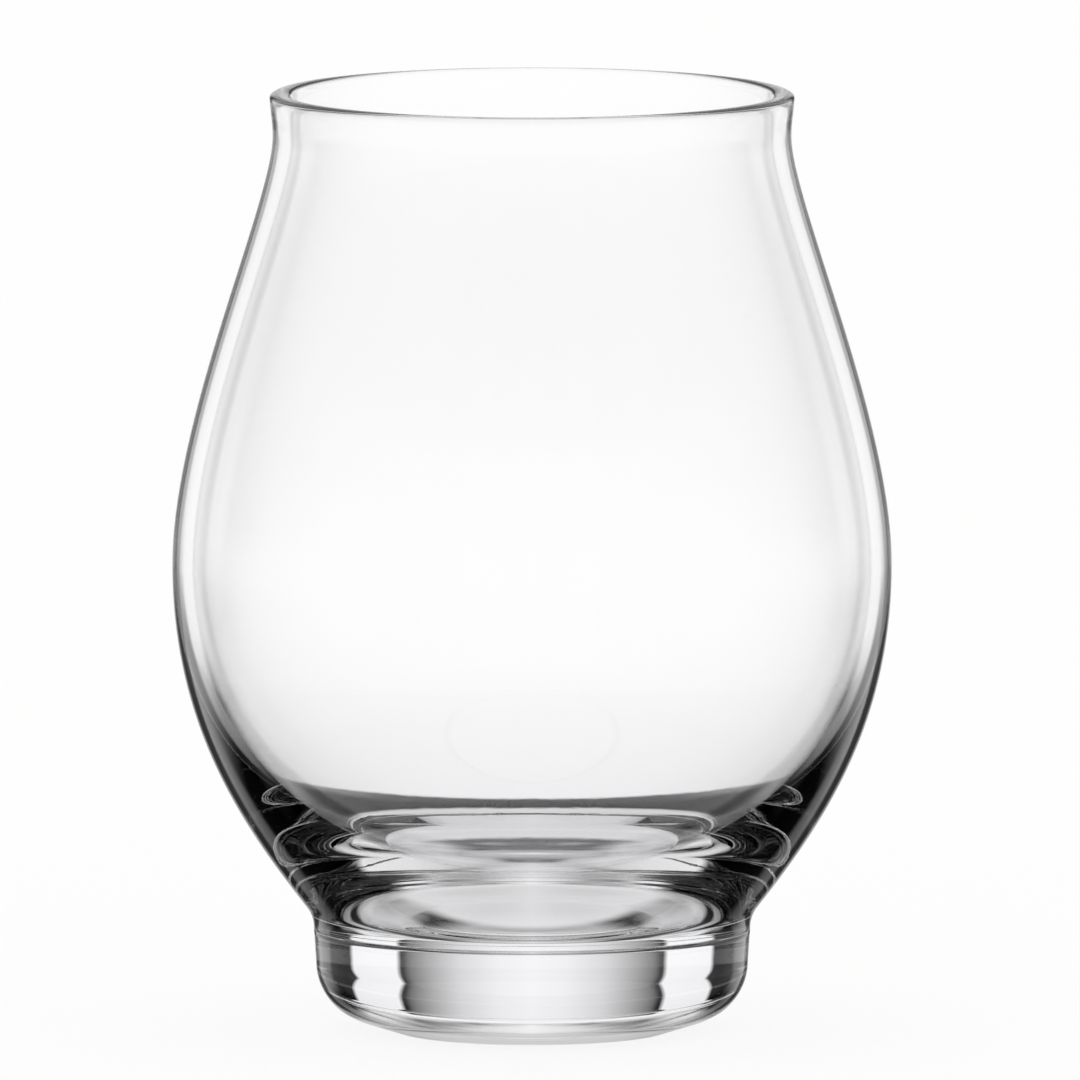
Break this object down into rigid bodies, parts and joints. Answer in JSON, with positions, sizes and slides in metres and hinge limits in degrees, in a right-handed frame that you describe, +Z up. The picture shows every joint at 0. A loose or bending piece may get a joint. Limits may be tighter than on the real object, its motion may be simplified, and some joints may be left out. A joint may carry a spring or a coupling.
{
  "type": "tumbler glass",
  "caption": "Clear heavy drinking tumbler: round-bellied bowl drawn in to a neck under a slightly flared lip, fused onto a short solid foot.",
  "frame": {"origin": "centre of the flat underside of the foot, on the table", "axes": "+Z up along the axis of the glass; the glass is round, so X and Y may turn freely"},
  "size_m": [0.087, 0.087, 0.1139],
  "materials": {
    "clear_crystal": "clear, fire-polished"
  },
  "bodies": {
    "root": {"bowl": "clear_crystal", "foot": "clear_crystal"}
  },
  "joints": []
}
